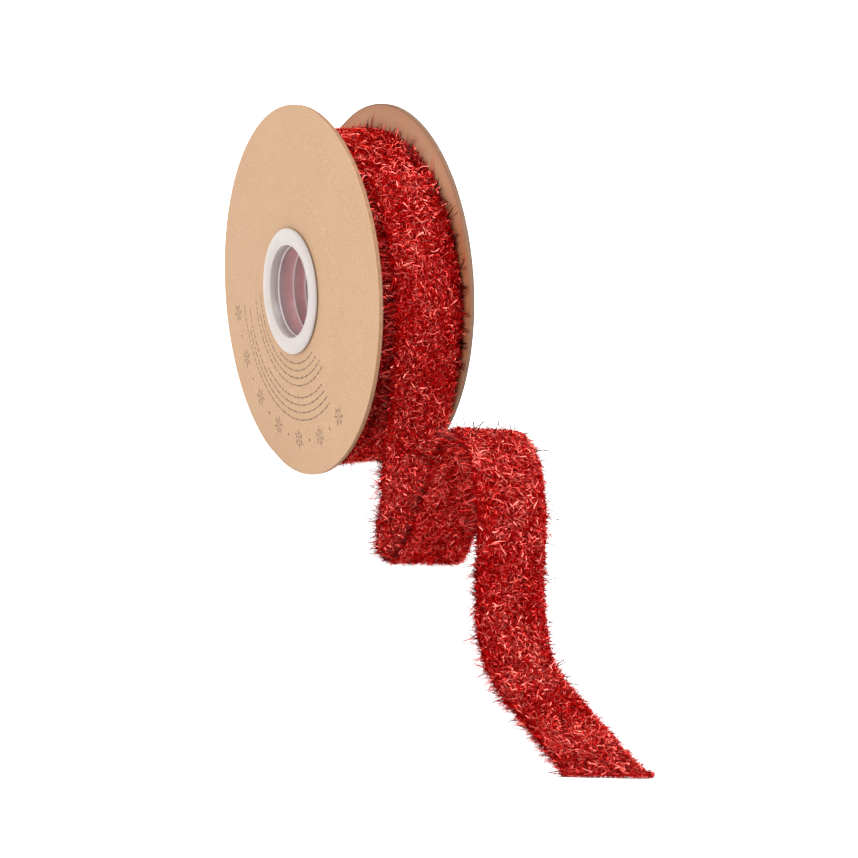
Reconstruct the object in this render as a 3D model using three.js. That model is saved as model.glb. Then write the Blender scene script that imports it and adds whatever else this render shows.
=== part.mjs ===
// Roll of tinsel ribbon on a card spool, with its loose end let out in front in one wave.
// Millimetres, +Z up. The spool stands on its rims with its axle line along X, and the
// loose end runs out towards -Y. The origin is on the ground, at the middle of the
// footprint of the whole thing.
import * as THREE from "three";
import { mergeVertices } from "three/addons/utils/BufferGeometryUtils.js";

// ---------------------------------------------------------------- driving sizes
const DISC_R = 63.5;          // card disc, 127 mm across
const DISC_T = 1.6;           // thickness of the card
const FLAT_W = 12;            // width of the flat spot each disc rests on
const INNER_GAP = 31.8;       // clear width between the two discs
const HOLE_R = 17.7;          // hole in each disc
const BULGE = 1.5;            // how far each disc is pushed out round the bush
const GAP = 0.3;              // gap left between pieces that touch
const AXIS_Z = Math.sqrt(DISC_R ** 2 - (FLAT_W / 2) ** 2);   // height of the axle line
const AXIS_Y = 72.8;          // axle line behind the middle of the footprint

const TUBE_R = 17.3;          // outside of each plastic bush
const BORE_R = 15.9;          // bore of each bush
const LIP_R = 21.7;           // round lip of each bush, on the outside of its disc
const LIP_T = 1.1;

const TURN_T = 4.4;           // one turn of the ribbon with its pile pressed flat
const LAST_TURN = 62;         // degrees above the front, where the last turn comes away
const CORE_R = 17.65;         // inside of the windings
const WOUND_R = 55.07;        // outside of the windings just under the last turn, level with the axle
const SAG = 4.26;             // how far the loose outer turns hang down on the inner ones
const WOUND_HALF = 15.55;     // half width of the windings

const RIBBON_HALF = 11.5;     // half width of the ribbon with its dense pile
const RIBBON_T = 4.4;         // thickness with the pile of both faces

const outerFace = INNER_GAP / 2 + DISC_T;     // distance of a disc's outer face from the middle

// ---------------------------------------------------------------- finishes
const kraft = (name) => new THREE.MeshStandardMaterial({ name, color: 0xe0b48a, roughness: 0.85, metalness: 0 });
const plastic = (name) => new THREE.MeshStandardMaterial({ name, color: 0xe9e2e2, roughness: 0.4, metalness: 0 });
const tinsel = (name) => new THREE.MeshStandardMaterial({ name, color: 0xb4121a, roughness: 0.35, metalness: 0.8 });

const part = new THREE.Group();
function add(name, geometry, material) {
  const mesh = new THREE.Mesh(geometry, material);
  mesh.name = name;
  part.add(mesh);
  return mesh;
}

// ---------------------------------------------------------------- plastic bushes
// Half of the core each: a thin tube through the disc, with a round lip outside, three
// fine ridges and a groove in the bore. u is the distance from the middle plane of the spool.
const ridge = (u, high) => [
  { r: BORE_R, u: u + 0.4 },
  { r: BORE_R - high, u: u + 0.2 },
  { r: BORE_R - high, u: u - 0.2 },
  { r: BORE_R, u: u - 0.4 },
];
const lipRoot = outerFace + BULGE + GAP;
const lipFace = lipRoot + LIP_T;
const BUSH = [
  { r: BORE_R, u: 0.2 },
  { r: TUBE_R, u: 0.2 },
  { r: TUBE_R, u: lipRoot },
  { r: LIP_R - 0.4, u: lipRoot },
  { r: LIP_R, u: lipRoot + 0.25 },
  { r: LIP_R, u: lipRoot + 0.45 },
  { r: LIP_R - 0.3, u: lipFace - 0.4 },
  { r: LIP_R - 1.5, u: lipFace },
  { r: BORE_R + 1.25, u: lipFace },
  { r: BORE_R + 1.1, u: lipFace - 0.15 },
  { r: BORE_R + 0.95, u: lipFace },
  { r: BORE_R + 0.5, u: lipFace },
  { r: BORE_R + 0.15, u: lipFace - 0.15 },
  { r: BORE_R, u: lipFace - 0.5 },
  ...ridge(16.7, 0.3),
  ...ridge(11.0, 0.25),
  ...ridge(6.5, 0.25),
  ...ridge(5.7, -0.35),
];
function bush(name, side) {
  const ring = BUSH.map((p) => new THREE.Vector2(p.r, p.u));
  ring.push(ring[0].clone());
  const g = new THREE.LatheGeometry(ring, 56);   // turned about Y, u along +Y
  g.rotateZ(side < 0 ? Math.PI / 2 : -Math.PI / 2);
  add(name, g, plastic("bush")).position.set(0, AXIS_Y, AXIS_Z);
}
bush("hub_near", -1);
bush("hub_far", 1);

// ---------------------------------------------------------------- lofting
// A closed body through a list of rings of points, each ring going the same way round.
// ended: flat caps on the first and last ring; otherwise the last ring joins the first.
function loft(rings, ended) {
  const n = rings[0].length;
  const pos = [];
  for (const ring of rings) for (const p of ring) pos.push(p.x, p.y, p.z);
  const index = [];
  const last = ended ? rings.length - 1 : rings.length;
  for (let i = 0; i < last; i++) {
    const a = i * n, b = ((i + 1) % rings.length) * n;
    for (let j = 0; j < n; j++) {
      const k = (j + 1) % n;
      index.push(a + j, b + j, b + k, a + j, b + k, a + k);
    }
  }
  if (ended) {
    const e = (rings.length - 1) * n;
    const flat = THREE.ShapeUtils.triangulateShape(ringOutline(rings[0]), []);
    for (const [i, j, k] of flat) index.push(i, j, k);
    const flat2 = THREE.ShapeUtils.triangulateShape(ringOutline(rings[rings.length - 1]), []);
    for (const [i, j, k] of flat2) index.push(e + k, e + j, e + i);
  }
  let g = new THREE.BufferGeometry();
  g.setAttribute("position", new THREE.Float32BufferAttribute(pos, 3));
  g.setIndex(index);
  g = mergeVertices(g, 1e-5);
  if (signedVolume(g) < 0) {
    const ix = g.index.array;
    for (let i = 0; i < ix.length; i += 3) { const t = ix[i + 1]; ix[i + 1] = ix[i + 2]; ix[i + 2] = t; }
  }
  g.computeVertexNormals();
  return g;
}
// the section's own outline, kept by every ring as u (across) and v (through) beside its place
function ringOutline(ring) {
  return ring.map((p) => new THREE.Vector2(p.u, p.v));
}
function signedVolume(g) {
  const p = g.attributes.position, ix = g.index.array;
  const a = new THREE.Vector3(), b = new THREE.Vector3(), c = new THREE.Vector3();
  let v = 0;
  for (let i = 0; i < ix.length; i += 3) {
    a.fromBufferAttribute(p, ix[i]); b.fromBufferAttribute(p, ix[i + 1]); c.fromBufferAttribute(p, ix[i + 2]);
    v += a.dot(b.cross(c)) / 6;
  }
  return v;
}
function spot(x, y, z, u, v) {
  const p = new THREE.Vector3(x, y, z);
  p.u = u; p.v = v;
  return p;
}

// ---------------------------------------------------------------- card discs
// Each disc is pushed out a little round the bush, less and less towards its rim, and has
// a flat spot at the bottom.
const DISC_RINGS = [1.0, 0.72, 0.4, 0.16, 0];      // share of the way in from the rim to the lip
function disc(name, side) {
  const steps = 132;
  const angles = [];
  const half = Math.asin(FLAT_W / 2 / DISC_R);       // half angle of the flat spot
  for (let i = 0; i <= steps; i++) angles.push(half + (2 * Math.PI - 2 * half) * (i / steps));
  const rings = angles.map((a) => {
    // a is measured from straight down
    const at = (r, x) => spot(side * x, AXIS_Y + r * Math.sin(a), AXIS_Z - r * Math.cos(a), r, x);
    const radii = [HOLE_R, ...DISC_RINGS.map((k) => DISC_R - k * (DISC_R - LIP_R))];
    const bulge = (r) => BULGE * Math.min(1, (DISC_R - r) / (DISC_R - LIP_R)) ** 1.3;
    const inner = radii.map((r) => at(r, INNER_GAP / 2 + bulge(r)));
    const outer = radii.map((r) => at(r, outerFace + bulge(r))).reverse();
    return [...inner, ...outer];
  });
  add(name, loft(rings, false), kraft("card"));
}
disc("flange_near", -1);
disc("flange_far", 1);

// ---------------------------------------------------------------- wound ribbon
// The windings as one body: a slow spiral one turn high that has sagged on the core, a
// little lower along the near side, where the turns wandered away from the card.
const SHOULDER = [
  { x: -WOUND_HALF, drop: 5.0 },
  { x: -12.4, drop: 3.2 },
  { x: -10.0, drop: 0.6 },
  { x: -7.0, drop: 0.0 },
  { x: 3.0, drop: -0.3 },
  { x: 11.5, drop: 0.0 },
  { x: 14.0, drop: 0.9 },
  { x: WOUND_HALF, drop: 2.4 },
];
// radius of the windings at an angle above the front, from LAST_TURN - 360 to LAST_TURN
function woundRadius(deg) {
  const along = (LAST_TURN - deg) / 360;               // 0 under the last turn, 1 a full turn back
  return WOUND_R + TURN_T * along - SAG * Math.sin(THREE.MathUtils.degToRad(deg));
}
function woundRing(deg, r) {
  const t = THREE.MathUtils.degToRad(deg);
  // slow unevenness of the layers, stronger between one and the next
  const wave = 0.35 * Math.sin(3 * t + 0.7) + 0.25 * Math.sin(7 * t + 2.0);
  const at = (x, rad, u, v) => spot(x, AXIS_Y - rad * Math.cos(t), AXIS_Z + rad * Math.sin(t), u, v);
  const ring = [at(WOUND_HALF, CORE_R, WOUND_HALF, CORE_R), at(-WOUND_HALF, CORE_R, -WOUND_HALF, CORE_R)];
  for (const s of SHOULDER) ring.push(at(s.x, r + wave - s.drop, s.x, r + wave - s.drop));
  return ring;
}
{
  const rings = [];
  const steps = 84;
  const from = LAST_TURN - 359.0;
  for (let i = 0; i <= steps; i++) {
    const deg = from + (LAST_TURN - 0.5 - from) * (i / steps);
    rings.push(woundRing(deg, woundRadius(deg)));
  }
  // between the last of these and the first is the step that the last turn leaves
  add("ribbon_roll", loft(rings, false), tinsel("tinsel"));
}

// ---------------------------------------------------------------- loose end
// Middle line of the ribbon from where the last turn comes away from the windings to the
// cut end. s is the distance in front of the axle, z the height, x the sideways place,
// yaw the turn of the ribbon's width about the upright, with + for the far edge going
// back, and bank its tilt, with + for the far edge up.
const onRoll = (deg, lift) => {
  const t = THREE.MathUtils.degToRad(deg);
  const r = woundRadius(deg) + 0.6 + GAP + RIBBON_T / 2 + lift;
  return { s: r * Math.cos(t), z: AXIS_Z + r * Math.sin(t) };
};
const REST_Z = RIBBON_T / 2;
const ROUTE = [
  { ...onRoll(59.5, 0.06), x: 2.2, yaw: 0, bank: 0 },
  { ...onRoll(46, 0.06), x: 2.3, yaw: 0, bank: 0 },
  { ...onRoll(31, 0.06), x: 2.35, yaw: 0, bank: 0 },
  { ...onRoll(17, 0.35), x: 2.35, yaw: 0, bank: 0 },
  { s: 59.6, z: 62.0, x: 2.35, yaw: 0, bank: 0 },
  { s: 60.4, z: 45.0, x: 2.35, yaw: -1, bank: 0 },
  { s: 61.8, z: 30.0, x: 2.2, yaw: -3, bank: 0 },
  { s: 66.6, z: 16.5, x: 1.6, yaw: -6, bank: 0 },
  { s: 73.0, z: 7.0, x: 0.6, yaw: -9, bank: 0 },
  { s: 79.8, z: 2.6, x: -0.4, yaw: -12, bank: 0 },
  { s: 86.0, z: 3.0, x: -1.0, yaw: -14, bank: 0 },
  { s: 89.5, z: 8.8, x: -0.5, yaw: -13, bank: 0 },
  { s: 91.6, z: 18.5, x: 0.6, yaw: -11.5, bank: 0 },
  { s: 94.2, z: 33.0, x: 1.4, yaw: -11, bank: 0 },
  { s: 98.0, z: 48.0, x: 1.4, yaw: -12, bank: -1 },
  { s: 106.0, z: 58.0, x: 1.2, yaw: -14, bank: -2 },
  { s: 117.0, z: 57.0, x: 0.8, yaw: -14, bank: -2 },
  { s: 126.0, z: 47.5, x: 0.3, yaw: -12, bank: -2 },
  { s: 132.0, z: 35.0, x: -0.3, yaw: -9, bank: 0 },
  { s: 137.0, z: 22.5, x: -1.2, yaw: -7, bank: 0 },
  { s: 144.0, z: 11.0, x: -2.4, yaw: -5, bank: 0 },
  { s: 156.0, z: 3.8, x: -3.8, yaw: -4, bank: 0 },
  { s: 172.0, z: REST_Z, x: -4.8, yaw: -3, bank: 0 },
  { s: 190.0, z: REST_Z, x: -5.6, yaw: -4, bank: 0 },
  { s: 206.1, z: REST_Z, x: -6.0, yaw: -15, bank: 0 },
];
// section of the ribbon: across is the share of the half width, through that of the half thickness
const SECTION = [
  { across: -1.0, through: -0.35 }, { across: -0.93, through: -1.0 },
  { across: 0.93, through: -1.0 }, { across: 1.0, through: -0.35 },
  { across: 1.0, through: 0.35 }, { across: 0.93, through: 0.95 },
  { across: 0.35, through: 1.0 }, { across: -0.35, through: 1.0 },
  { across: -0.93, through: 0.95 }, { across: -1.0, through: 0.35 },
];
{
  const keys = ["x", "yaw", "bank"];
  const line = new THREE.CatmullRomCurve3(ROUTE.map((p) => new THREE.Vector3(0, -p.s, p.z)), false, "centripetal");
  const perGap = 4;
  const rings = [];
  const total = (ROUTE.length - 1) * perGap;
  for (let i = 0; i <= total; i++) {
    const t = i / total;
    const seg = Math.min(Math.floor(i / perGap), ROUTE.length - 2);
    const f = i / perGap - seg;
    const mid = line.getPoint(t);
    const run = line.getTangent(t);
    const v = {};
    for (const k of keys) v[k] = ROUTE[seg][k] + (ROUTE[seg + 1][k] - ROUTE[seg][k]) * (f * f * (3 - 2 * f));
    const yaw = THREE.MathUtils.degToRad(v.yaw), bank = THREE.MathUtils.degToRad(v.bank);
    const wide = new THREE.Vector3(Math.cos(yaw) * Math.cos(bank), Math.sin(yaw) * Math.cos(bank), Math.sin(bank));
    const up = new THREE.Vector3().crossVectors(run, wide).normalize();
    rings.push(SECTION.map((q) => {
      const a = q.across * RIBBON_HALF, b = q.through * RIBBON_T / 2;
      const p = new THREE.Vector3(v.x, AXIS_Y + mid.y, mid.z).addScaledVector(wide, a).addScaledVector(up, -b);
      return spot(p.x, p.y, Math.max(p.z, 0), a, b);
    }));
  }
  add("ribbon_tail", loft(rings, true), tinsel("tinsel"));
}

export default part;
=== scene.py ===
import math

import bpy
import numpy as np
from mathutils import Matrix, Vector


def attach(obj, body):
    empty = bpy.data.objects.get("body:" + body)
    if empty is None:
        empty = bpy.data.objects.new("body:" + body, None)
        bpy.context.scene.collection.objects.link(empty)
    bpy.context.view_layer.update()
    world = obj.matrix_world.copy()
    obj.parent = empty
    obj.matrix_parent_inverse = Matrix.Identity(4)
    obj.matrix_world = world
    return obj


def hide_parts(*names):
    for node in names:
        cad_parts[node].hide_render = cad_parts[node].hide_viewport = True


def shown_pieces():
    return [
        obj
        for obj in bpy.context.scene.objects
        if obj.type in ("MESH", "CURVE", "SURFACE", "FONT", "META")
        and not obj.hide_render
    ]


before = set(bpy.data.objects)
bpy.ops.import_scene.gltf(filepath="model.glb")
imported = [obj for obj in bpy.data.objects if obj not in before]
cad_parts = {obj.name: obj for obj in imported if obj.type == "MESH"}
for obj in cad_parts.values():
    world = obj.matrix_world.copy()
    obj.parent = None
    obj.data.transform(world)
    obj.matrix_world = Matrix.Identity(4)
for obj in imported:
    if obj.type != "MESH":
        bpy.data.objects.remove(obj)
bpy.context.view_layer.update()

MM = 0.001
rng = np.random.default_rng(20)

# ------------------------------------------------------------------ sizes, in mm, as in the CAD
DISC_R, DISC_T, FLAT_W, INNER_GAP, HOLE_R, BULGE, GAP = 63.5, 1.6, 12.0, 31.8, 17.7, 1.5, 0.3
AXIS_Y, AXIS_Z = 72.8, math.sqrt(63.5**2 - 6.0**2)
TUBE_R, BORE_R, LIP_R, LIP_T = 17.3, 15.9, 21.7, 1.1
TURN_T, LAST_TURN, CORE_R, WOUND_R, SAG, WOUND_HALF = 4.4, 62.0, 17.65, 55.07, 4.26, 15.55
RIBBON_HALF, RIBBON_T = 11.5, 4.4
OUTER = INNER_GAP / 2 + DISC_T


# ------------------------------------------------------------------ camera and light
def place_camera():
    eye = (-302.859, -576.899 + AXIS_Y, 319.359 + AXIS_Z - 63.5)
    right = (0.8802926, -0.4537007, 0.1387102)
    up = (0.0844822, 0.4376038, 0.8951903)
    back = (-0.4668486, -0.7763109, 0.4235495)
    data = bpy.data.cameras.new("camera")
    data.sensor_width = 36.0
    data.lens = 2000.581 / 858 * 36.0
    data.clip_start, data.clip_end = 0.02, 20.0
    cam = bpy.data.objects.new("camera", data)
    bpy.context.collection.objects.link(cam)
    m = Matrix.Identity(4)
    for i, axis in enumerate((right, up, back)):
        for j in range(3):
            m[j][i] = axis[j]
    for j in range(3):
        m[j][3] = eye[j] * MM
    cam.matrix_world = m
    bpy.context.scene.camera = cam
    return cam


camera = place_camera()


def area_light(name, at, to, size, watts, colour=(1, 1, 1)):
    data = bpy.data.lights.new(name, "AREA")
    data.shape, data.size, data.energy, data.color = "DISK", size, watts, colour
    o = bpy.data.objects.new(name, data)
    bpy.context.collection.objects.link(o)
    o.location = at
    o.rotation_euler = (Vector(to) - Vector(at)).to_track_quat("-Z", "Y").to_euler()
    return o


area_light("key", (-0.1, -0.45, 1.45), (0, 0, 0.05), 1.2, 27.8)
area_light("fill", (1.0, -1.0, 0.7), (0, -0.02, 0.04), 0.9, 8.7)
area_light("side", (-1.5, -0.2, 0.6), (0, 0.05, 0.06), 1.2, 10.2)
area_light("back", (0.45, 1.1, 1.0), (0, 0, 0.05), 0.8, 5.2)

world = bpy.data.worlds.new("world")
bpy.context.scene.world = world
world.use_nodes = True
world.node_tree.nodes["Background"].inputs["Color"].default_value = (1, 1, 1, 1)
world.node_tree.nodes["Background"].inputs["Strength"].default_value = 0.98

scene = bpy.context.scene
scene.view_settings.view_transform = "Standard"
scene.view_settings.look = "None"
scene.view_settings.exposure = 0.0


# ------------------------------------------------------------------ material helpers
class Nodes:
    """A node tree with short calls for what the materials here need."""

    def __init__(self, name):
        self.mat = bpy.data.materials.new(name)
        self.mat.use_nodes = True
        self.nt = self.mat.node_tree
        self.nt.nodes.clear()
        self.out = self.nt.nodes.new("ShaderNodeOutputMaterial")
        self.bsdf = self.nt.nodes.new("ShaderNodeBsdfPrincipled")
        self.nt.links.new(self.bsdf.outputs[0], self.out.inputs[0])

    def node(self, kind, **values):
        n = self.nt.nodes.new(kind)
        for k, v in values.items():
            setattr(n, k, v)
        return n

    def put(self, socket, value):
        if isinstance(value, bpy.types.NodeSocket):
            self.nt.links.new(value, socket)
        else:
            socket.default_value = value

    def maths(self, op, a, b=0.0, c=0.0, clamp=False):
        n = self.node("ShaderNodeMath", operation=op, use_clamp=clamp)
        for s, v in zip(n.inputs, (a, b, c)):
            self.put(s, v)
        return n.outputs[0]

    def step(self, x, low, high):
        """0 below low, 1 above high, smooth between."""
        n = self.node("ShaderNodeMapRange", interpolation_type="SMOOTHSTEP")
        self.put(n.inputs["Value"], x)
        n.inputs["From Min"].default_value, n.inputs["From Max"].default_value = low, high
        return n.outputs[0]

    def noise(self, vector, scale, detail=2.0, rough=0.5, distort=0.0):
        n = self.node("ShaderNodeTexNoise")
        self.put(n.inputs["Vector"], vector)
        n.inputs["Scale"].default_value = scale
        n.inputs["Detail"].default_value = detail
        n.inputs["Roughness"].default_value = rough
        n.inputs["Distortion"].default_value = distort
        return n.outputs["Fac"]

    def mix(self, fac, a, b, blend="MIX"):
        n = self.node("ShaderNodeMix", data_type="RGBA", blend_type=blend)
        self.put(n.inputs["Factor"], fac)
        self.put(n.inputs[6], a if isinstance(a, bpy.types.NodeSocket) else (*a, 1))
        self.put(n.inputs[7], b if isinstance(b, bpy.types.NodeSocket) else (*b, 1))
        return n.outputs[2]

    def ramp(self, fac, *stops):
        n = self.node("ShaderNodeValToRGB")
        self.put(n.inputs[0], fac)
        e = n.color_ramp.elements
        while len(e) < len(stops):
            e.new(0.5)
        for item, (pos, colour) in zip(e, stops):
            item.position, item.color = pos, (*colour, 1)
        return n.outputs[0]

    def place(self):
        """Object coordinates in mm, as three sockets and the vector."""
        tc = self.node("ShaderNodeTexCoord")
        scaled = self.node("ShaderNodeVectorMath", operation="SCALE")
        self.nt.links.new(tc.outputs["Object"], scaled.inputs[0])
        scaled.inputs["Scale"].default_value = 1000.0
        sep = self.node("ShaderNodeSeparateXYZ")
        self.nt.links.new(scaled.outputs[0], sep.inputs[0])
        return sep.outputs[0], sep.outputs[1], sep.outputs[2], scaled.outputs[0]

    def radius(self, y, z):
        """Distance from the axle line, in mm."""
        dy = self.maths("SUBTRACT", y, AXIS_Y)
        dz = self.maths("SUBTRACT", z, AXIS_Z)
        return self.maths("SQRT", self.maths("ADD", self.maths("MULTIPLY", dy, dy), self.maths("MULTIPLY", dz, dz)))

    def bump(self, height, strength, distance):
        n = self.node("ShaderNodeBump")
        n.inputs["Strength"].default_value = strength
        n.inputs["Distance"].default_value = distance
        self.put(n.inputs["Height"], height)
        self.nt.links.new(n.outputs[0], self.bsdf.inputs["Normal"])
        return n

    def set(self, **values):
        for k, v in values.items():
            self.put(self.bsdf.inputs[k.replace("_", " ")], v)


def kraft_material():
    m = Nodes("kraft_card")
    x, y, z, v = m.place()
    r = m.radius(y, z)
    fibres = m.noise(v, 1.6, 4.0, 0.62)
    cloud = m.noise(v, 0.07, 3.0, 0.55)
    specks = m.noise(v, 3.2, 1.0, 0.5)
    face = m.mix(m.step(cloud, 0.3, 0.7), (0.323, 0.195, 0.110), (0.337, 0.206, 0.118))
    face = m.mix(m.step(fibres, 0.35, 0.75), face, m.mix(0.75, face, (0.431, 0.286, 0.179)))
    face = m.mix(m.maths("MULTIPLY", m.step(specks, 0.6, 0.76), 0.6), face, (0.250, 0.134, 0.069))
    # the side towards the windings is browner board; below about 100 mm height it is painted a darker red-brown as
    # shade and red bounce from the pile, painted darker towards the rim as shade, and edged with a thin dark line at
    # the very rim
    share = m.maths("DIVIDE", m.maths("SUBTRACT", DISC_R, r), DISC_R - LIP_R, clamp=True)
    pushed = m.maths("MULTIPLY", m.maths("POWER", share, 1.3), BULGE)
    depth = m.maths("SUBTRACT", m.maths("SUBTRACT", m.maths("ABSOLUTE", x), INNER_GAP / 2), pushed)
    inner_board_and_shade = m.mix(m.step(fibres, 0.3, 0.75), (0.444, 0.240, 0.140), (0.491, 0.274, 0.162))
    deep = m.mix(m.step(fibres, 0.3, 0.75), (0.332, 0.110, 0.047), (0.379, 0.138, 0.062))
    # painted shade and painted red bounce of the pile below about 100 mm, the browner board above
    inner_board_and_shade = m.mix(m.step(z, 98.0, 117.0), deep, inner_board_and_shade)
    # painted shade: darker towards the rim
    inner_board_and_shade = m.mix(m.maths("MULTIPLY", m.step(r, 59.5, 63.5), 0.5), inner_board_and_shade, (0.293, 0.129, 0.067))
    inner_board_and_shade = m.mix(m.step(r, DISC_R - 0.8, DISC_R - 0.15), inner_board_and_shade, (0.17, 0.09, 0.055))
    face = m.mix(m.step(depth, 0.4, 0.9), inner_board_and_shade, face)
    # the cut edge shows the layers of the board: a lighter skin, a browner middle and a grey back
    rough_edge = m.noise(v, 0.9, 3.0, 0.6)
    skin = m.step(m.maths("ADD", depth, m.maths("MULTIPLY", rough_edge, 0.3)), 1.42, 1.62)
    back = m.step(m.maths("ADD", depth, m.maths("MULTIPLY", rough_edge, 0.3)), 0.28, 0.5)
    layers = m.step(m.noise(v, 0.5, 4.0, 0.7), 0.35, 0.65)
    near_edge = m.mix(back, (0.172, 0.086, 0.052), m.mix(skin, m.mix(layers, (0.185, 0.095, 0.047), (0.233, 0.123, 0.064)), (0.250, 0.147, 0.083)))
    # painted shade: the far card's cut edge is a darker copy of the same layers
    far_edge_painted_dark = m.mix(m.step(depth, 0.5, 0.9), (0.155, 0.071, 0.036), m.mix(layers, (0.112, 0.067, 0.045), (0.138, 0.082, 0.053)))
    edge = m.mix(m.step(x, -1.0, 1.0), near_edge, far_edge_painted_dark)
    on_edge = m.maths("MULTIPLY", m.maths("MULTIPLY", m.step(depth, 0.05, 0.14), m.maths("SUBTRACT", 1.0, m.step(depth, 1.46, 1.55))), m.step(r, DISC_R - 1.0, DISC_R - 0.7))
    colour = m.mix(on_edge, face, edge)
    worn = m.maths("MULTIPLY", m.step(r, DISC_R - 1.2, DISC_R - 0.3), m.step(m.noise(v, 0.3, 3.0, 0.6), 0.62, 0.7))
    colour = m.mix(m.maths("MULTIPLY", worn, 0.1), colour, (0.431, 0.319, 0.224))
    m.set(Base_Color=colour, Roughness=0.82, Metallic=0.0)
    m.bsdf.inputs["Specular IOR Level"].default_value = 0.3
    m.bump(m.maths("ADD", fibres, m.maths("MULTIPLY", specks, 0.4)), 0.25, 0.00012)
    return m.mat


def bush_material():
    m = Nodes("bush_plastic")
    x, y, z, v = m.place()
    r = m.radius(y, z)
    side = m.maths("ABSOLUTE", x)
    milky = m.noise(v, 0.12, 2.0, 0.5)
    shell = m.mix(m.step(milky, 0.3, 0.7), (0.330, 0.292, 0.271), (0.348, 0.311, 0.289))
    # painted shade: the shell is darker towards the front
    shell = m.mix(m.step(y, AXIS_Y - 20.0, AXIS_Y + 4.0), m.mix(0.4, shell, (0.284, 0.246, 0.241)), shell)
    # inside the bore the wound ribbon shows through the thin wall, most where the wall is bare
    blotch = m.noise(v, 0.22, 3.0, 0.6, 0.6)
    behind = m.ramp(blotch, (0.25, (0.336, 0.203, 0.211)), (0.5, (0.405, 0.211, 0.217)), (0.72, (0.483, 0.241, 0.237)))
    inner = m.maths("SUBTRACT", 1.0, m.step(r, BORE_R + 0.1, BORE_R + 0.6))
    band = m.mix(m.step(side, 17.3, 20.2), (0.203, 0.159, 0.159), shell)        # painted shade: darker deep in the bore where the card closes round the thick end, lighter towards the lip
    behind = m.mix(m.step(side, 13.0, 16.6), behind, (0.319, 0.228, 0.234))
    wall = m.mix(m.step(side, 16.75, 16.95), behind, band)
    seam = m.maths("SUBTRACT", 1.0, m.step(r, BORE_R - 0.22, BORE_R - 0.06))
    wall = m.mix(m.maths("MULTIPLY", seam, 0.75), wall, (0.552, 0.491, 0.496))
    colour = m.mix(inner, shell, wall)
    m.set(Base_Color=colour, Roughness=0.36, Metallic=0.0)
    m.bsdf.inputs["Subsurface Weight"].default_value = 0.15
    m.bsdf.inputs["Subsurface Radius"].default_value = (0.002, 0.0012, 0.0012)
    m.bsdf.inputs["Subsurface Scale"].default_value = 1.0
    m.bump(m.noise(v, 0.5, 2.0, 0.5), 0.05, 0.0002)
    return m.mat


def cloth_material(name, low, high):
    m = Nodes(name)
    x, y, z, v = m.place()
    n = m.noise(v, 1.1, 3.0, 0.6)
    m.set(Base_Color=m.mix(m.step(n, 0.35, 0.65), low, high), Roughness=0.7, Metallic=0.0)
    m.bsdf.inputs["Specular IOR Level"].default_value = 0.05
    m.bump(n, 0.6, 0.0006)
    return m.mat


def tinsel_material():
    """Cut foil strands: tint picks each one's shade of red, and the light coral and pale end of the ramp paints the
    foil's highlights; along runs from its root to its tip, and the colour darkens towards the root as painted shade.
    """
    m = Nodes("tinsel_pile")
    tint = m.node("ShaderNodeAttribute", attribute_name="tint").outputs["Fac"]
    along = m.node("ShaderNodeAttribute", attribute_name="along").outputs["Fac"]
    # the coral and pale stops are painted highlights; the near-black stops at the end are dark stray hairs
    shade = m.ramp(tint, (0.0, (0.293, 0.0003, 0.0003)), (0.25, (0.362, 0.0009, 0.0012)), (0.45, (0.448, 0.0103, 0.0103)), (0.60, (0.517, 0.034, 0.029)), (0.74, (0.603, 0.072, 0.062)),
                   (0.86, (0.72, 0.122, 0.100)), (0.945, (0.80, 0.205, 0.162)), (0.957, (0.039, 0.019, 0.0172)), (1.0, (0.039, 0.019, 0.0172)))
    # painted shade: each strand darker towards its root
    root = m.ramp(m.step(along, 0.0, 0.5), (0.0, (0.8, 0.3, 0.3)), (1.0, (1, 1, 1)))
    m.set(Base_Color=m.mix(1.0, shade, root, "MULTIPLY"), Roughness=m.maths("SUBTRACT", 0.66, m.maths("MULTIPLY", m.step(tint, 0.3, 0.62), 0.33)), Metallic=1.0)
    m.bsdf.inputs["Specular Tint"].default_value = (1.0, 0.2, 0.16, 1.0)
    return m.mat


kraft, plastic, tinsel = kraft_material(), bush_material(), tinsel_material()
# painted light: the loose end's cloth is a lighter copy of the roll's cloth
wound, loose = cloth_material("ribbon_cloth", (0.19, 0.0004, 0.0008), (0.293, 0.0007, 0.0012)), cloth_material("ribbon_cloth_loose_painted_lighter", (0.38, 0.0006, 0.0010), (0.52, 0.0009, 0.0015))


# ------------------------------------------------------------------ mesh helpers
def new_object(name, verts, faces, material, smooth=True, uv=None):
    """verts in mm; faces as one array of quads or a list of polygons."""
    me = bpy.data.meshes.new(name)
    if isinstance(faces, np.ndarray):
        me.vertices.add(len(verts))
        me.vertices.foreach_set("co", (np.asarray(verts, np.float32) * MM).ravel())
        n, k = faces.shape
        me.loops.add(n * k)
        me.loops.foreach_set("vertex_index", faces.ravel().astype(np.int32))
        me.polygons.add(n)
        me.polygons.foreach_set("loop_start", np.arange(0, n * k, k, dtype=np.int32))
        me.polygons.foreach_set("loop_total", np.full(n, k, np.int32))
        me.update(calc_edges=True)
    else:
        me.from_pydata([tuple(np.asarray(v) * MM) for v in verts], [], [tuple(f) for f in faces])
        me.update()
    if uv is not None:
        layer = me.uv_layers.new(name="OFBake")
        layer.uv.foreach_set("vector", np.asarray(uv, np.float32).ravel())
    me.polygons.foreach_set("use_smooth", np.full(len(me.polygons), smooth))
    me.materials.append(material)
    o = bpy.data.objects.new(name, me)
    bpy.context.collection.objects.link(o)
    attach(o, "root")
    return o


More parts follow.
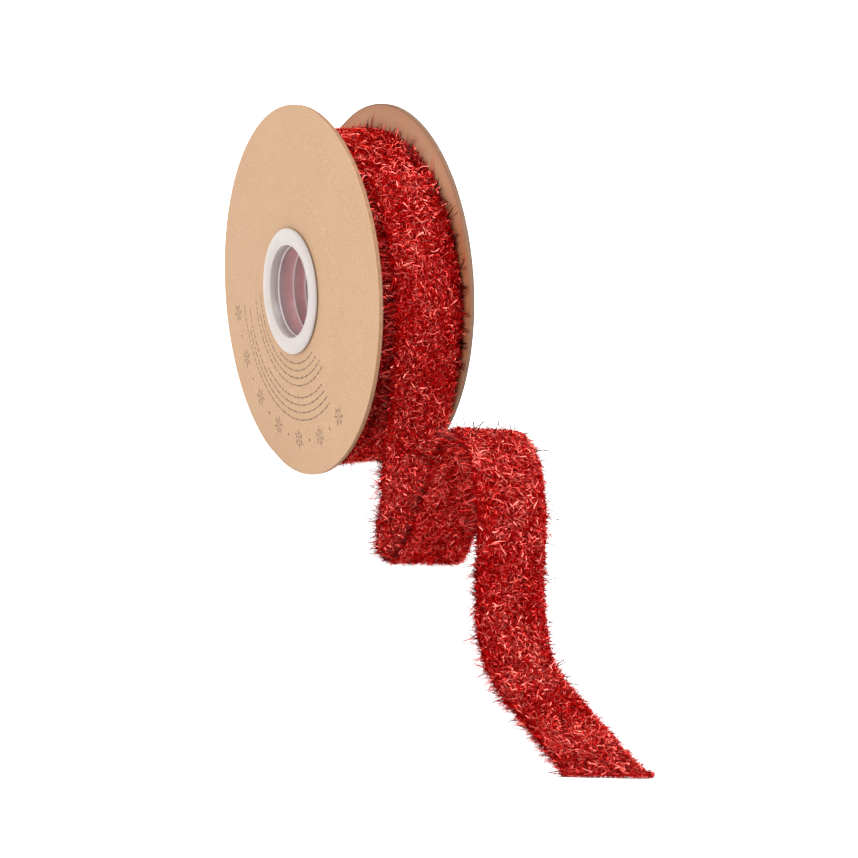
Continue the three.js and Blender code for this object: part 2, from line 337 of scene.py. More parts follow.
def grid_faces(rows, cols, wrap_rows=False, wrap_cols=False):
    """Quads of a grid of rows x cols points, numbered row by row."""
    i = np.arange(rows if wrap_rows else rows - 1)
    j = np.arange(cols if wrap_cols else cols - 1)
    i, j = np.meshgrid(i, j, indexing="ij")
    i, j = i.ravel(), j.ravel()
    i2, j2 = (i + 1) % rows, (j + 1) % cols
    return np.stack([i * cols + j, i2 * cols + j, i2 * cols + j2, i * cols + j2], 1)


def smooth_noise(seed, n, period, rough=3):
    """A closed wave of n samples over one turn, made of a few sines."""
    r = np.random.default_rng(seed)
    t = np.linspace(0, 2 * np.pi, n, endpoint=False)
    w = np.zeros(n)
    for k in range(1, rough + 1):
        w += r.normal() / k * np.sin(period * k * t + r.uniform(0, 6.28))
    return w / rough


# ------------------------------------------------------------------ card discs
def bulge(r):
    return BULGE * np.clip((DISC_R - r) / (DISC_R - LIP_R), 0, 1) ** 1.3


def disc(name, side, dents):
    n = 240
    a = 2 * np.pi * np.arange(n) / n                       # from straight down
    rim = DISC_R + 0.05 * smooth_noise(3 + side, n, 5) + 0.02 * smooth_noise(9 + side, n, 41)
    rim = np.minimum(rim, DISC_R)
    low = AXIS_Z / np.maximum(np.cos(a), 1e-6)
    rim = np.where((np.cos(a) > 0) & (low < rim), low, rim)   # the flat spot
    # profile of the board, from the inner edge of the hole, over the rim, and back
    soft = 0.16
    rows = []
    radii_in = [HOLE_R, 20.5, 24, 30, 38, 46, 54, 60, 62.4]
    for r in radii_in:
        rows.append((np.full(n, r), np.full(n, INNER_GAP / 2) + bulge(np.full(n, r))))
    for dr, dx in ((soft, 0.0), (0.05, 0.05), (0.0, soft), (0.02, 0.45), (0.035, 0.62), (0.0, 0.85), (0.015, 1.15), (0.0, DISC_T - soft), (0.05, DISC_T - 0.05), (soft, DISC_T)):
        fray = 0.03 * smooth_noise(int(40 + dx * 90) + side, n, 23, 5)
        rows.append((rim - dr - np.abs(fray) * (0.2 < dx) * (dx < 1.4), np.full(n, INNER_GAP / 2 + dx)))
    for r in reversed(radii_in):
        rows.append((np.full(n, r), np.full(n, OUTER) + bulge(np.full(n, r))))
    rad = np.array([r for r, x in rows])
    xs = np.array([x for r, x in rows])
    for deg, wide, deep, push in dents:                     # small knocks in the rim
        d = np.abs((np.degrees(a) - deg + 180) % 360 - 180)
        k = np.exp(-((d / wide) ** 2))
        near = np.clip((rad - (DISC_R - 1.6)) / 1.6, 0, 1)
        rad -= deep * k * near
        xs += push * k * near
    verts = np.stack([side * xs, AXIS_Y + rad * np.sin(a), AXIS_Z - rad * np.cos(a)], -1).reshape(-1, 3)
    verts[:, 2] = np.maximum(verts[:, 2], 0.0)
    rows_n = len(rows)
    faces = grid_faces(rows_n, n, wrap_rows=True, wrap_cols=True)
    if side < 0:
        faces = faces[:, ::-1]
    o = new_object(name, verts, faces, kraft)
    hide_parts("flange_near" if side < 0 else "flange_far")
    return o


disc("card_disc_near", -1, [(209.0, 3.2, -0.2, 0.08), (297.0, 2.6, 0.0, 0.12)])
disc("card_disc_far", 1, [])


# ------------------------------------------------------------------ print on the near disc
def kraft_ink():
    m = Nodes("brown_ink")
    x, y, z, v = m.place()
    worn = m.noise(v, 1.8, 3.0, 0.65)
    m.set(Base_Color=m.mix(m.step(worn, 0.35, 0.62), (0.091, 0.053, 0.036), (0.172, 0.103, 0.065)), Roughness=0.7)
    m.bsdf.inputs["Specular IOR Level"].default_value = 0.3
    m.bump(worn, 0.2, 0.0001)
    return m.mat


def printed_marks():
    """Curved rows of plain dashes over a border of small six-armed stars and dots, as thin raised ink."""
    r = np.random.default_rng(5)
    runs = []                                                # from, to and width of each stroke, in the plane of the card

    def spot(deg, rad):
        return np.array([math.cos(math.radians(deg)), math.sin(math.radians(deg))]) * rad

    def put(points, wide):
        runs.extend((np.array(p, float), np.array(q, float), wide) for p, q in zip(points[:-1], points[1:]))

    # rows from the outside in: radius, first and last angle, size of the dashes
    rows = [(44.6, 213, 327, 1.0), (42.0, 214, 316, 1.0), (39.4, 214, 326, 1.0), (36.8, 214, 289, 1.0),
            (32.6, 207, 333, 1.0), (30.0, 208, 321, 1.0), (27.4, 210, 333, 1.0), (24.9, 212, 276, 1.0)]
    for rad, first, last, size in rows:
        at = first + r.uniform(0, 2)
        while at < last:
            word = r.choice([0.8, 1.3, 1.9, 2.6, 3.3]) * r.uniform(0.85, 1.15) * size
            put([spot(at + math.degrees(word * k / 3 / rad), rad) for k in range(4)], 0.5)
            at += math.degrees((word + 0.85) / rad)
    for k in range(7):
        deg = 270 + 19.5 * (k - 3)
        c = spot(deg, 51.5)
        for arm in range(6):
            d = spot(deg + 60 * arm, 1.0)
            put([c + d * 0.5, c + d * 3.5], 0.28)
            for lean in (-52, 52):
                t = spot(deg + 60 * arm + lean, 1.0)
                put([c + d * 1.7, c + d * 1.7 + t * 1.15], 0.24)
        if k < 6:
            c = spot(deg + 9.75, 51.5)
            put([c - spot(deg + 9.75, 0.35), c + spot(deg + 9.75, 0.35)], 0.9)
    a = np.array([p for p, q, w in runs])
    b = np.array([q for p, q, w in runs])
    wide = np.array([w for p, q, w in runs])[:, None]
    d = (b - a) / np.linalg.norm(b - a, axis=1, keepdims=True)
    n = np.stack([-d[:, 1], d[:, 0]], 1)
    a, b = a - d * wide * 0.1, b + d * wide * 0.1
    ring = np.stack([a - n * wide / 2, b - n * wide / 2, b + n * wide / 2, a + n * wide / 2], 1)      # n, 4, 2
    rad = np.linalg.norm(ring, axis=-1)
    verts = []
    for out in (0.035, -0.06):
        verts.append(np.stack([-(OUTER + bulge(rad) + out), AXIS_Y + ring[..., 0], AXIS_Z + ring[..., 1]], -1))
    verts = np.concatenate(verts, 1)                                                                  # n, 8, 3
    box = np.array([[0, 3, 2, 1], [4, 5, 6, 7], [0, 1, 5, 4], [1, 2, 6, 5], [2, 3, 7, 6], [3, 0, 4, 7]])
    faces = (box[None] + 8 * np.arange(len(verts))[:, None, None]).reshape(-1, 4)
    flat = verts.reshape(-1, 3)
    uv = (np.stack([flat[:, 1] - AXIS_Y, flat[:, 2] - AXIS_Z], 1) / 130 + 0.5)[faces.ravel()]
    o = new_object("card_print", flat, faces, kraft_ink(), smooth=False, uv=uv)


printed_marks()


# ------------------------------------------------------------------ plastic bushes
def bush(name, side):
    root, face = OUTER + BULGE + GAP, OUTER + BULGE + GAP + LIP_T

    def ridge(u, high):
        return [(BORE_R, u + 0.4), (BORE_R - 0.7 * high, u + 0.28), (BORE_R - high, u + 0.12), (BORE_R - high, u - 0.12), (BORE_R - 0.7 * high, u - 0.28), (BORE_R, u - 0.4)]

    profile = [(BORE_R, 0.2), (TUBE_R, 0.2), (TUBE_R, root), (LIP_R - 0.4, root), (LIP_R - 0.08, root + 0.08), (LIP_R, root + 0.25), (LIP_R, root + 0.5)]
    profile += [(LIP_R - 0.06, face - 0.38), (LIP_R - 0.25, face - 0.2), (LIP_R - 0.6, face - 0.08), (LIP_R - 1.2, face - 0.015), (LIP_R - 1.8, face)]
    profile += [(BORE_R + 1.35, face), (BORE_R + 1.2, face - 0.06), (BORE_R + 1.08, face - 0.1), (BORE_R + 0.96, face - 0.06), (BORE_R + 0.82, face)]
    profile += [(BORE_R + 0.5, face - 0.03), (BORE_R + 0.22, face - 0.14), (BORE_R + 0.06, face - 0.32), (BORE_R, face - 0.6)]
    profile += ridge(16.7, 0.3) + [(BORE_R, 14.0)] + ridge(11.0, 0.25) + [(BORE_R, 8.8)] + ridge(6.5, 0.25) + ridge(5.7, -0.35) + [(BORE_R, 2.5)]
    p = np.array(profile)
    n = 120
    t = 2 * np.pi * np.arange(n) / n
    verts = np.stack([np.repeat(side * p[:, 1:2], n, 1), AXIS_Y + p[:, :1] * np.cos(t), AXIS_Z + p[:, :1] * np.sin(t)], -1).reshape(-1, 3)
    faces = grid_faces(len(p), n, wrap_rows=True, wrap_cols=True)
    if side > 0:
        faces = faces[:, ::-1]
    o = new_object(name, verts, faces, plastic)
    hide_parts("hub_near" if side < 0 else "hub_far")
    return o


bush("core_bush_near", -1)
bush("core_bush_far", 1)


# ------------------------------------------------------------------ pile
CELLS = 32                     # strands of like tint share one small cell of the baked colours


def strands(root, nrm, t1, t2, length, width, heading, curl, rise, settle, roll, twist, tint, segs=3, taper=0.55, keep=None):
    """Flat cut strands. Each starts at root, leaves it at the angle rise above the cloth in the direction heading
    (from t1 towards t2), and settles to the angle settle while its heading turns by curl."""
    n = len(root)
    pos = np.empty((n, segs + 1, 3))
    sid = np.empty((n, segs + 1, 3))
    p = root.copy()
    pos[:, 0] = p
    for k in range(segs + 1):
        a = k / segs
        mid = min(a + 0.5 / segs, 1.0)
        for is_step, at in ((False, a), (True, mid)):
            el = rise + (settle - rise) * at**0.7
            he = heading + curl * at
            flat = t1 * np.cos(he)[:, None] + t2 * np.sin(he)[:, None]
            d = nrm * np.sin(el)[:, None] + flat * np.cos(el)[:, None]
            if not is_step:
                s = np.cross(d, nrm)
                s /= np.linalg.norm(s, axis=1, keepdims=True) + 1e-9
                ph = (roll + twist * at)[:, None]
                sid[:, k] = s * np.cos(ph) + np.cross(d, s) * np.sin(ph)
            elif k < segs:
                p = p + d * (length / segs)[:, None]
                pos[:, k + 1] = p
    if keep is not None:
        pos = keep(pos)
    a = np.linspace(0, 1, segs + 1)
    w = (width[:, None] * (1 - taper * a**2))[:, :, None]
    v = np.stack([pos - sid * w / 2, pos + sid * w / 2], 2)      # n, segs+1, 2, 3
    return {"v": v, "tint": tint, "segs": segs}


def pile_object(name, groups, material, floor=0.12):
    verts, faces, uvs, tints, alongs = [], [], [], [], []
    base = 0
    for g in groups:
        v, segs, tint = g["v"], g["segs"], g["tint"]
        n = len(v)
        if not n:
            continue
        verts.append(v.reshape(-1, 3))
        k = np.arange(segs)
        one = np.stack([2 * k, 2 * k + 1, 2 * k + 3, 2 * k + 2], 1)
        f = (one[None] + (np.arange(n) * 2 * (segs + 1))[:, None, None] + base).reshape(-1, 4)
        faces.append(f)
        cell = np.clip((tint * CELLS * CELLS).astype(int), 0, CELLS * CELLS - 1)
        corner = np.stack([[0.2, 0.8, 0.8, 0.2]] * segs)
        up = np.stack([k, k, k + 1, k + 1], 1) / segs * 0.7 + 0.15
        u = ((cell % CELLS)[:, None, None] + corner[None]) / CELLS
        w = ((cell // CELLS)[:, None, None] + up[None]) / CELLS
        uvs.append(np.stack([u, w], -1).reshape(-1, 2))
        tints.append(np.repeat(tint, 2 * (segs + 1)))
        alongs.append(np.tile(np.repeat(np.linspace(0, 1, segs + 1), 2), n))
        base += n * 2 * (segs + 1)
    verts = np.concatenate(verts)
    verts[:, 2] = np.maximum(verts[:, 2], floor)
    o = new_object(name, verts, np.concatenate(faces), material, uv=np.concatenate(uvs))
    for key, values in (("tint", tints), ("along", alongs)):
        o.data.attributes.new(key, "FLOAT", "POINT").data.foreach_set("value", np.concatenate(values).astype(np.float32))
    return o


def lay(groups, root, nrm, t1, t2, one, two, keep=None, taper=0.55, **per):
    """Adds strands to groups: those shorter than one in a single straight run, those shorter than two in
    two, and the others in three."""
    length = per["length"]
    for mask, segs in ((length < one, 1), ((length >= one) & (length < two), 2), ((length >= one) & (length >= two), 3)):
        groups.append(strands(root[mask], nrm[mask], t1[mask], t2[mask], segs=segs, taper=taper, keep=keep, **{k: v[mask] for k, v in per.items()}))


def spikes(root, tip, bend, width, tint, segs=2, keep=None, point=0.85):
    """Thin strands from root to tip, each bowed by bend halfway and drawn out to a point."""
    n = len(root)
    a = np.linspace(0, 1, segs + 1)[None, :, None]
    pos = root[:, None] * (1 - a) + tip[:, None] * a + bend[:, None] * (4 * a * (1 - a))
    if keep is not None:
        pos = keep(pos)
    d = tip - root
    d /= np.linalg.norm(d, axis=1, keepdims=True) + 1e-9
    s = np.cross(d, rng.normal(size=(n, 3)))
    s /= np.linalg.norm(s, axis=1, keepdims=True) + 1e-9
    w = (width[:, None] * (1 - point * np.linspace(0, 1, segs + 1) ** 1.3))[:, :, None]
    sid = np.repeat(s[:, None], segs + 1, 1)
    return {"v": np.stack([pos - sid * w / 2, pos + sid * w / 2], 2), "tint": tint, "segs": segs}


def pick_tint(n, low=0.0, high=0.94):
    return rng.uniform(low, high, n)


def top_tint(n, patch=0.0):
    """Shades of the strands that lie on top of the pile; the light coral ones are painted highlights, more of them
    where patch is high (about -1 to 1).
    """
    which = rng.random(n) + 0.17 * patch
    return np.where(which < 0.46, rng.uniform(0.15, 0.56, n), np.where(which < 0.82, rng.uniform(0.56, 0.82, n), rng.uniform(0.82, 0.945, n)))


def patches(a, b, seed, scale):
    """Soft patches over the cloth, about -1 to 1; top_tint puts more painted highlights where they are high."""
    r = np.random.default_rng(seed)
    out = np.zeros_like(a)
    for k in range(6):
        t = r.uniform(0, 2 * np.pi)
        f = 2 * np.pi / scale * r.uniform(0.6, 1.5)
        out += np.sin(f * (a * np.cos(t) + b * np.sin(t)) + r.uniform(0, 6.28))
    return out / 2.4


def turned_in(heading, across, share=0.6):
    """Near an edge most strands lie towards the middle, so that the edge stays dense and short."""
    out = (np.abs(across) > 0.85) & (np.sin(heading) * across > 0) & (rng.random(len(heading)) < share)
    return np.where(out, -heading, heading)


# ------------------------------------------------------------------ wound ribbon
def wound_radius(deg):
    """Outside of the pile, deg from LAST_TURN - 360 to LAST_TURN, above the front."""
    return WOUND_R + TURN_T * (LAST_TURN - deg) / 360 - SAG * np.sin(np.radians(deg))


def on_wheel(x, r, deg):
    t = np.radians(deg)
    return np.stack([x, AXIS_Y - r * np.cos(t), AXIS_Z + r * np.sin(t)], -1)


WRAP_LOW, WRAP_HIGH = -8.4, 15.2        # the outermost turn lies from here to here across the spool


def wrap_drift(deg):
    return 0.5 * np.sin(np.radians(deg * 1.0 + 40)) + 0.25 * np.sin(np.radians(deg * 3 + 10))


def wound_cloth():
    n = 240
    deg = np.linspace(LAST_TURN - 359.5, LAST_TURN - 0.5, n)
    profile = [(-15.3, -7.2), (-14.4, -5.6), (-11.5, -4.9), (-8.9, -4.6), (-8.2, -3.0), (-7.2, -2.4), (-2, -2.2), (3, -2.1), (9, -2.2), (13.2, -2.4), (14.1, -3.2), (14.6, -4.8), (15.3, -6.2)]
    rows = []
    r0 = wound_radius(deg)
    drift = wrap_drift(deg)
    rows.append(on_wheel(np.full(n, 15.3), np.full(n, CORE_R + 0.1), deg))
    rows.append(on_wheel(np.full(n, -15.3), np.full(n, CORE_R + 0.1), deg))
    for x, dr in profile:
        rows.append(on_wheel(np.clip(x + drift * (abs(x) < 14.5), -15.3, 15.3), r0 + dr, deg))
    verts = np.stack(rows, 1).reshape(-1, 3)
    faces = grid_faces(n, len(rows), wrap_rows=True, wrap_cols=True)
    o = new_object("roll_cloth", verts, faces[:, ::-1], wound)
    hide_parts("ribbon_roll")
    return o


roll_cloth = wound_cloth()


def wheel_frame(deg):
    t = np.radians(deg)
    z0 = np.zeros_like(t)
    nrm = np.stack([z0, -np.cos(t), np.sin(t)], -1)
    t1 = np.stack([z0, np.sin(t), np.cos(t)], -1)          # the way the angle grows
    t2 = np.stack([np.ones_like(t), z0, z0], -1)
    return nrm, t1, t2


def inside_cards(pos):
    """Strands press flat on the cards rather than going through them."""
    r = np.hypot(pos[..., 1] - AXIS_Y, pos[..., 2] - AXIS_Z)
    room = INNER_GAP / 2 - 0.12 + bulge(np.minimum(r, DISC_R))
    pos[..., 0] = np.clip(pos[..., 0], -room, room)
    return pos


def lean_field(a, b, seed, scale):
    """A slowly turning direction over the cloth, so that neighbours lean together in tufts."""
    r = np.random.default_rng(seed)
    out = np.zeros_like(a)
    for k in range(5):
        fa, fb = r.normal(0, 1 / scale, 2) * (1 + 0.6 * k)
        out += r.uniform(1.0, 2.2) * np.sin(fa * a * 2 * np.pi + fb * b * 2 * np.pi + r.uniform(0, 6.28))
    return out


def roll_pile(name, lo, hi, per_deg):
    groups = []
    span = abs(hi - lo)
    for top, share in ((False, 0.54), (True, 0.45)):         # a darker bed, and lighter strands over it
        n = int(span * per_deg * share)
        deg = rng.uniform(lo, hi, n)
        x = rng.uniform(WRAP_LOW - 0.1, WRAP_HIGH, n) + wrap_drift(deg)
        nrm, t1, t2 = wheel_frame(deg)
        edge = np.minimum(x - wrap_drift(deg) - WRAP_LOW, (WRAP_HIGH - x + wrap_drift(deg)) * 1.6)
        level = -1.9 + rng.beta(1.3, 1.6, n) * 1.0 if not top else -1.0 + rng.beta(1.5, 1.5, n) * 1.1
        r = wound_radius(deg) + level - 0.6 * np.exp(-np.maximum(edge, 0) / 0.8)
        across = (x - wrap_drift(deg) - (WRAP_LOW + WRAP_HIGH) / 2) / ((WRAP_HIGH - WRAP_LOW) / 2)
        head = turned_in(lean_field(np.radians(deg) * 57, x, 5, 6.0) + rng.normal(0, 1.3, n), across)
        if top:
            lay(groups, on_wheel(x, r, deg), nrm, t1, t2, 1.7, 3.0, keep=inside_cards, taper=0.35, length=0.9 + 2.0 * rng.beta(1.2, 1.8, n), width=rng.uniform(0.16, 0.29, n),
                heading=head, curl=rng.normal(0, 1.7, n), rise=rng.uniform(0.2, 1.1, n), settle=rng.normal(-0.1, 0.3, n), roll=rng.normal(0, 0.6, n),
                twist=rng.normal(0, 0.7, n), tint=top_tint(n, patches(np.radians(deg) * 57, x, 31, 22.0)))
        else:
            lay(groups, on_wheel(x, r, deg), nrm, t1, t2, 2.6, 9.0, keep=inside_cards, taper=0.4, length=rng.uniform(1.1, 3.0, n), width=rng.uniform(0.22, 0.4, n),
                heading=head, curl=rng.normal(0, 1.6, n), rise=rng.uniform(0.5, 1.3, n), settle=rng.normal(0.0, 0.42, n), roll=rng.normal(0, 0.7, n),
                twist=rng.normal(0, 0.8, n), tint=pick_tint(n, 0.0, 0.32))
    # longer light strands that lie loose on the top, some in loops; their light coral tints are painted highlights
    n = int(span * 2.2)
    deg = rng.uniform(lo, hi, n)
    x = rng.uniform(WRAP_LOW + 1, WRAP_HIGH - 1, n) + wrap_drift(deg)
    nrm, t1, t2 = wheel_frame(deg)
    groups.append(strands(on_wheel(x, wound_radius(deg) + rng.uniform(-0.2, 0.5, n), deg), nrm, t1, t2, segs=5, keep=inside_cards, taper=0.3, length=rng.uniform(3.2, 6.0, n),
                          width=rng.uniform(0.2, 0.34, n), heading=rng.uniform(0, 6.28, n), curl=rng.normal(0, 1.6, n), rise=rng.uniform(0.0, 0.5, n), settle=rng.normal(-0.15, 0.15, n),
                          roll=rng.normal(0, 0.35, n), twist=rng.normal(0, 0.5, n), tint=rng.uniform(0.78, 0.945, n)))
    # older turns lower down beside the outermost one; their tints run lighter than the bed's, painted light where the
    # near card shades them
    n = int(span * per_deg * 0.14)
    deg = rng.uniform(lo, hi, n)
    left = rng.random(n) < 0.86
    x = np.where(left, rng.uniform(-15.6, -7.6, n), rng.uniform(14.0, 15.6, n))
    nrm, t1, t2 = wheel_frame(deg)
    r = wound_radius(deg) - np.where(left, 2.6 - 1.8 * np.clip((deg - 5) / 25, 0, 1) + np.clip((-13.5 - x) * 0.5, 0, 1.2), 2.4) - 1.6 * np.clip((-deg - 40) / 30, 0, 1) * np.clip((deg + 200) / 60, 0, 1)
    r += rng.beta(1.3, 1.5, n) * 1.2
    lay(groups, on_wheel(x, r, deg), nrm, t1, t2, 2.4, 3.8, keep=inside_cards, length=rng.uniform(1.6, 4.4, n), width=rng.uniform(0.2, 0.34, n),
        heading=rng.uniform(0, 6.28, n), curl=rng.normal(0, 1.4, n), rise=rng.uniform(0.5, 1.3, n), settle=rng.normal(0.05, 0.45, n),
        roll=rng.normal(0, 0.7, n), twist=rng.normal(0, 0.8, n), tint=np.where(rng.random(n) < 0.6, pick_tint(n, 0.25, 0.66), pick_tint(n, 0.66, 0.94)))
    # both edges of the outermost turn
    n = int(span * per_deg * 0.03)
    deg = rng.uniform(lo, hi, n)
    right = rng.random(n) < 0.5
    x = np.where(right, WRAP_HIGH - rng.uniform(0, 0.9, n), WRAP_LOW + rng.uniform(0, 0.9, n)) + wrap_drift(deg)
    nrm, t1, t2 = wheel_frame(deg)
    root = on_wheel(x, wound_radius(deg) - 2.2 + rng.uniform(-0.8, 0.8, n), deg)
    lay(groups, root, nrm, t1, t2, 1.6, 9.0, keep=inside_cards, taper=0.7, length=rng.uniform(0.9, 2.2, n), width=rng.uniform(0.17, 0.3, n),
        heading=np.where(right, np.pi / 2, -np.pi / 2) + rng.normal(0, 0.6, n), curl=rng.normal(0, 0.9, n), rise=rng.normal(0.35, 0.45, n),
        settle=rng.normal(0.1, 0.5, n), roll=rng.normal(0, 0.8, n), twist=rng.normal(0, 0.7, n), tint=pick_tint(n, 0.0, 0.8))
    # tufts that stand off the edges, and single ones all over; the far-edge tufts take lighter coral tints than the
    # near-edge ones, painted highlight on the lit side
    n_tuft = int(span / 360 * 260)
    t_deg = rng.uniform(lo, hi, n_tuft)
    t_right = rng.random(n_tuft) < 0.72
    t_x = np.where(t_right, rng.uniform(10.5, WRAP_HIGH, n_tuft), rng.uniform(WRAP_LOW, WRAP_LOW + 3, n_tuft))
    t_up = 1.8 + rng.beta(1.3, 1.6, n_tuft) * 4.9
    t_side = np.where(t_right, 1, -1) * rng.uniform(0.0, 1.8, n_tuft)
    t_turn = rng.normal(0, 2.2, n_tuft)
    k = rng.integers(2, 7, n_tuft)
    who = np.repeat(np.arange(n_tuft), k)
    m = len(who)
    root = on_wheel(t_x[who] + rng.normal(0, 0.6, m), wound_radius(t_deg[who]) - 1.0, t_deg[who] + rng.normal(0, 0.7, m))
    tip = on_wheel(t_x[who] + t_side[who] + rng.normal(0, 0.3, m), wound_radius(t_deg[who]) + t_up[who] * rng.uniform(0.45, 1.0, m), t_deg[who] + t_turn[who] + rng.normal(0, 0.35, m))
    groups.append(spikes(root, tip, rng.normal(0, 0.22, (m, 3)), rng.uniform(0.16, 0.34, m), np.where(rng.random(m) < np.where(t_right[who], 0.6, 0.95), rng.uniform(0.66, 0.93, m) - 0.26 * ~t_right[who], rng.uniform(0.955, 0.999, m)), keep=inside_cards))
    n = int(span / 360 * 420)
    deg = rng.uniform(lo, hi, n)
    x = rng.uniform(WRAP_LOW, WRAP_HIGH, n)
    up = rng.exponential(0.9, n) + 0.3
    tip = on_wheel(x + rng.normal(0, 1.3, n), wound_radius(deg) + np.minimum(up, 3.6), deg + rng.normal(0, 1.5, n))
    groups.append(spikes(on_wheel(x, wound_radius(deg) - 1.2, deg), tip, rng.normal(0, 0.35, (n, 3)), rng.uniform(0.12, 0.22, n),
                         rng.uniform(0.3, 0.93, n), keep=inside_cards))
    # dark bristles of the older turns, which stick out below beside the card
    n = int(np.clip(min(hi, -55.0) - max(lo, -100.0), 0, None) * 7)
    deg = rng.uniform(-100.0, -55.0, n)
    x = rng.uniform(-15.4, -8.0, n)
    tip = on_wheel(x + rng.normal(0, 0.9, n), wound_radius(deg) - 2.6 + rng.uniform(0, 3.2, n), deg + rng.normal(3.0, 2.5, n))
    groups.append(spikes(on_wheel(x, wound_radius(deg) - 5.4, deg), tip, rng.normal(0, 0.3, (n, 3)), rng.uniform(0.14, 0.28, n), rng.uniform(0.955, 0.999, n), keep=inside_cards))
    return pile_object(name, groups, tinsel)


FULL = LAST_TURN - 360
roll_pile("roll_pile_upper", -20.0, LAST_TURN, 520)
roll_pile("roll_pile_lower", -118.0, -20.0, 410)
roll_pile("roll_pile_back", FULL + 0.5, -118.0, 178)


# ------------------------------------------------------------------ loose end
def on_roll(deg, lift):
    r = wound_radius(deg) + 0.6 + GAP + RIBBON_T / 2 + lift
    return (r * math.cos(math.radians(deg)), AXIS_Z + r * math.sin(math.radians(deg)))


REST_Z = RIBBON_T / 2
# forward of the axle, height, sideways, yaw and bank in degrees: the middle line of part.mjs
ROUTE = np.array([
    (*on_roll(59.5, 0.06), 2.2, 0, 0), (*on_roll(46, 0.06), 2.3, 0, 0), (*on_roll(31, 0.06), 2.35, 0, 0), (*on_roll(17, 0.35), 2.35, 0, 0),
    (59.6, 62.0, 2.35, 0, 0), (60.4, 45.0, 2.35, -1, 0), (61.8, 30.0, 2.2, -3, 0), (66.6, 16.5, 1.6, -6, 0),
    (73.0, 7.0, 0.6, -9, 0), (79.8, 2.6, -0.4, -12, 0), (86.0, 3.0, -1.0, -14, 0), (89.5, 8.8, -0.5, -13, 0),
    (91.6, 18.5, 0.6, -11.5, 0), (94.2, 33.0, 1.4, -11, 0), (98.0, 48.0, 1.4, -12, -1), (106.0, 58.0, 1.2, -14, -2),
    (117.0, 57.0, 0.8, -14, -2), (126.0, 47.5, 0.3, -12, -2), (132.0, 35.0, -0.3, -9, 0), (137.0, 22.5, -1.2, -7, 0),
    (144.0, 11.0, -2.4, -5, 0), (156.0, 3.8, -3.8, -4, 0), (172.0, REST_Z, -4.8, -3, 0), (190.0, REST_Z, -5.6, -4, 0),
    (206.1, REST_Z, -6.0, -15, 0),
])


def route_at(u):
    """Places and frames along the loose end, u counted in stations."""
    pts = ROUTE[:, :2]
    n = len(pts)
    seg = np.clip(u.astype(int), 0, n - 2)
    f = u - seg
    ext = np.vstack([2 * pts[0] - pts[1], pts, 2 * pts[-1] - pts[-2]])
    p0, p1, p2, p3 = ext[seg], ext[seg + 1], ext[seg + 2], ext[seg + 3]
    d0, d1, d2 = (np.sqrt(np.linalg.norm(b - a, axis=1))[:, None] for a, b in ((p0, p1), (p1, p2), (p2, p3)))
    m1 = ((p1 - p0) / d0 - (p2 - p0) / (d0 + d1) + (p2 - p1) / d1) * d1
    m2 = ((p2 - p1) / d1 - (p3 - p1) / (d1 + d2) + (p3 - p2) / d2) * d1
    f1 = f[:, None]
    at = (2 * f1**3 - 3 * f1**2 + 1) * p1 + (f1**3 - 2 * f1**2 + f1) * m1 + (-2 * f1**3 + 3 * f1**2) * p2 + (f1**3 - f1**2) * m2
    run = (6 * f1**2 - 6 * f1) * p1 + (3 * f1**2 - 4 * f1 + 1) * m1 + (-6 * f1**2 + 6 * f1) * p2 + (3 * f1**2 - 2 * f1) * m2
    ease = f * f * (3 - 2 * f)
    rest = ROUTE[seg, 2:] + (ROUTE[seg + 1, 2:] - ROUTE[seg, 2:]) * ease[:, None]
    mid = np.stack([rest[:, 0], AXIS_Y - at[:, 0], at[:, 1]], -1)
    run = np.stack([np.zeros(len(u)), -run[:, 0], run[:, 1]], -1)
    run /= np.linalg.norm(run, axis=1, keepdims=True)
    yaw, bank = np.radians(rest[:, 1]), np.radians(rest[:, 2])
    wide = np.stack([np.cos(yaw) * np.cos(bank), np.sin(yaw) * np.cos(bank), np.sin(bank)], -1)
    up = np.cross(run, wide)                                 # away from the roll, and up on the ground
    up /= np.linalg.norm(up, axis=1, keepdims=True)
    return mid, run, wide, up


STEPS = 1200
U = np.linspace(0, len(ROUTE) - 1, STEPS)
LINE = route_at(U)
ARC = np.concatenate([[0], np.cumsum(np.linalg.norm(np.diff(LINE[0], axis=0), axis=1))])
LENGTH = float(ARC[-1])


def at_arc(s):
    """Frames at distances s along the loose end, in mm; the pile is trodden flat towards the cut end."""
    mid, run, wide, up = route_at(np.interp(s, ARC, U))
    mid[:, 2] -= 1.7 * np.clip((s - LENGTH + 15) / 15, 0, 1) ** 1.6
    mid[:, 0] -= 0.8 * np.exp(-(((s - LENGTH + 62) / 24) ** 2))
    return mid, run, wide, up


CLOTH_HALF, CUT_SKEW, CUT_BACK = 10.8, 1.3, 1.1


def splay(s, a):
    """The pile spreads sideways on the roll, at the foot of the hanging part and at the far corner of the cut."""
    foot = np.exp(-(((s - np.interp(8.7, U, ARC)) / 12.0) ** 2))
    return 3.9 * np.clip((s - LENGTH + 12) / 12, 0, 1) ** 2 * np.clip(a, 0, 1) + foot * np.where(a < 0, 2.8, 1.8) * a + (1.7 * np.clip((80 - s) / 20, 0, 1) + 1.2 * np.exp(-(((s - np.interp(19.8, U, ARC)) / 9.0) ** 2))) * np.clip(a, 0, 1)


def skew(s, a):
    """The cut runs a little askew to the weave."""
    return CUT_SKEW * (a + 1) / 2 * np.clip((s - LENGTH + 18) / 18, 0, 1) ** 1.4


